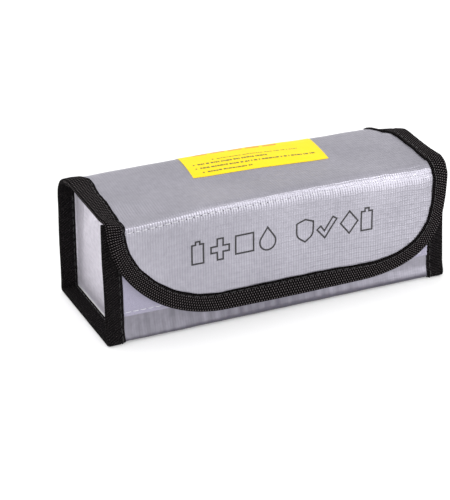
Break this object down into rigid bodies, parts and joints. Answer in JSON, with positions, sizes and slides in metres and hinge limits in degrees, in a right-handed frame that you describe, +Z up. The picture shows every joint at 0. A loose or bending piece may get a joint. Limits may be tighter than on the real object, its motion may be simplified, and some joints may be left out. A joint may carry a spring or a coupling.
{
  "type": "fire-resistant battery storage bag",
  "caption": "Box-shaped sewn bag of silver glass cloth for lithium batteries, with a hinged lid and a curved front flap on hook and loop, black bound edges and a yellow label.",
  "frame": {"origin": "on the surface the bag stands on, under the middle of the bag's bounding box", "axes": "+X along the bag, towards the right end as the flap is faced; +Y from the flap to the back; +Z up"},
  "size_m": [0.185, 0.066, 0.064],
  "materials": {
    "silver_cloth": "silver-coated glass cloth, finely ribbed, satin",
    "lining_cloth": "plain woven glass cloth, matt",
    "binding_tape": "black woven binding tape",
    "black_thread": "black sewing thread",
    "grey_thread": "pale grey sewing thread",
    "loop_pile": "white loop pile tape",
    "hook_tape": "white hook tape",
    "label_film": "yellow printed film, half gloss"
  },
  "bodies": {
    "shell": {"wall_front": "silver_cloth", "lining_front": "lining_cloth", "wall_bottom": "silver_cloth", "lining_bottom": "lining_cloth", "wall_back": "silver_cloth", "lining_back": "lining_cloth", "end_panel_left": "silver_cloth", "lining_left": "lining_cloth", "binding_left_front": "binding_tape", "binding_left_bottom": "binding_tape", "binding_left_back": "binding_tape", "thread_end_left": "black_thread", "end_panel_right": "silver_cloth", "lining_right": "lining_cloth", "binding_right_front": "binding_tape", "binding_right_bottom": "binding_tape", "binding_right_back": "binding_tape", "thread_end_right": "black_thread", "binding_rim": "binding_tape", "thread_rim": "black_thread", "loop_strip": "loop_pile", "thread_loop_strip": "grey_thread"},
    "lid": {"lid_panel": "silver_cloth", "lid_lining": "lining_cloth", "lid_binding_left": "binding_tape", "thread_lid_left": "black_thread", "lid_binding_right": "binding_tape", "thread_lid_right": "black_thread", "label": "label_film"},
    "flap": {"flap_panel": "silver_cloth", "flap_lining": "lining_cloth", "flap_binding": "binding_tape", "thread_flap_edge": "black_thread", "hook_strip": "hook_tape", "thread_hook_strip": "grey_thread", "thread_crease": "grey_thread"}
  },
  "joints": [
    {"name": "lid_fold", "type": "hinge", "parent": "shell", "child": "lid", "pos_m": [0, 0.02934, 0.06034], "axis": [-1, 0, 0], "range_deg": [0, 175]},
    {"name": "flap_fold", "type": "hinge", "parent": "lid", "child": "flap", "pos_m": [0, -0.03022, 0.06122], "axis": [-1, 0, 0], "range_deg": [0, 150]}
  ]
}
